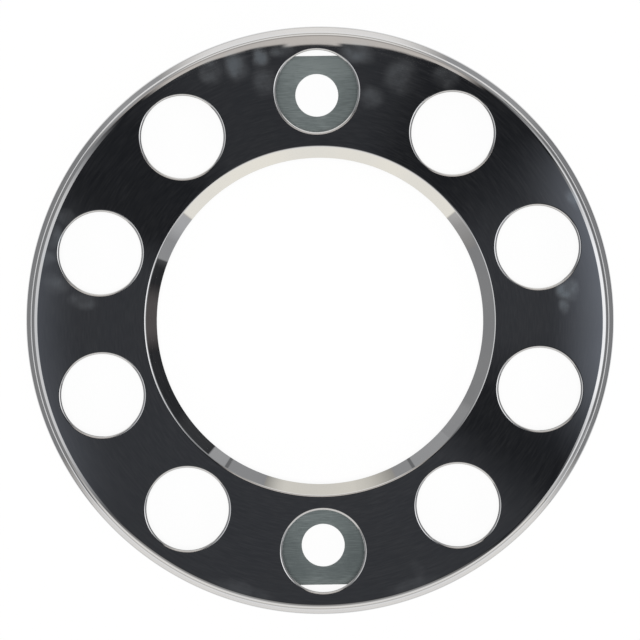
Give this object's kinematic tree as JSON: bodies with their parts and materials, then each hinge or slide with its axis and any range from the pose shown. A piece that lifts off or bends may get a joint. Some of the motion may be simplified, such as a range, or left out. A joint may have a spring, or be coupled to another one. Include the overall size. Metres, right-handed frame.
{
  "type": "wheel cover",
  "caption": "Polished ring-shaped wheel cover with round nut holes, a conical edge round its open centre, a rolled rear rim and brackets that clamp under the wheel nuts.",
  "frame": {"origin": "centre of the rear rim's plane, on the wheel axis", "axes": "+Z along the wheel axis out of the polished face, +Y towards the upper bracket"},
  "size_m": [0.4369, 0.437, 0.031],
  "materials": {
    "polished_steel": "mirror-polished stainless steel",
    "zinc_plated_steel": "dull blue-grey zinc plating over drawn strip"
  },
  "bodies": {
    "root": {"cover_ring": "polished_steel", "upper_bracket": "zinc_plated_steel", "lower_bracket": "zinc_plated_steel"}
  },
  "joints": []
}
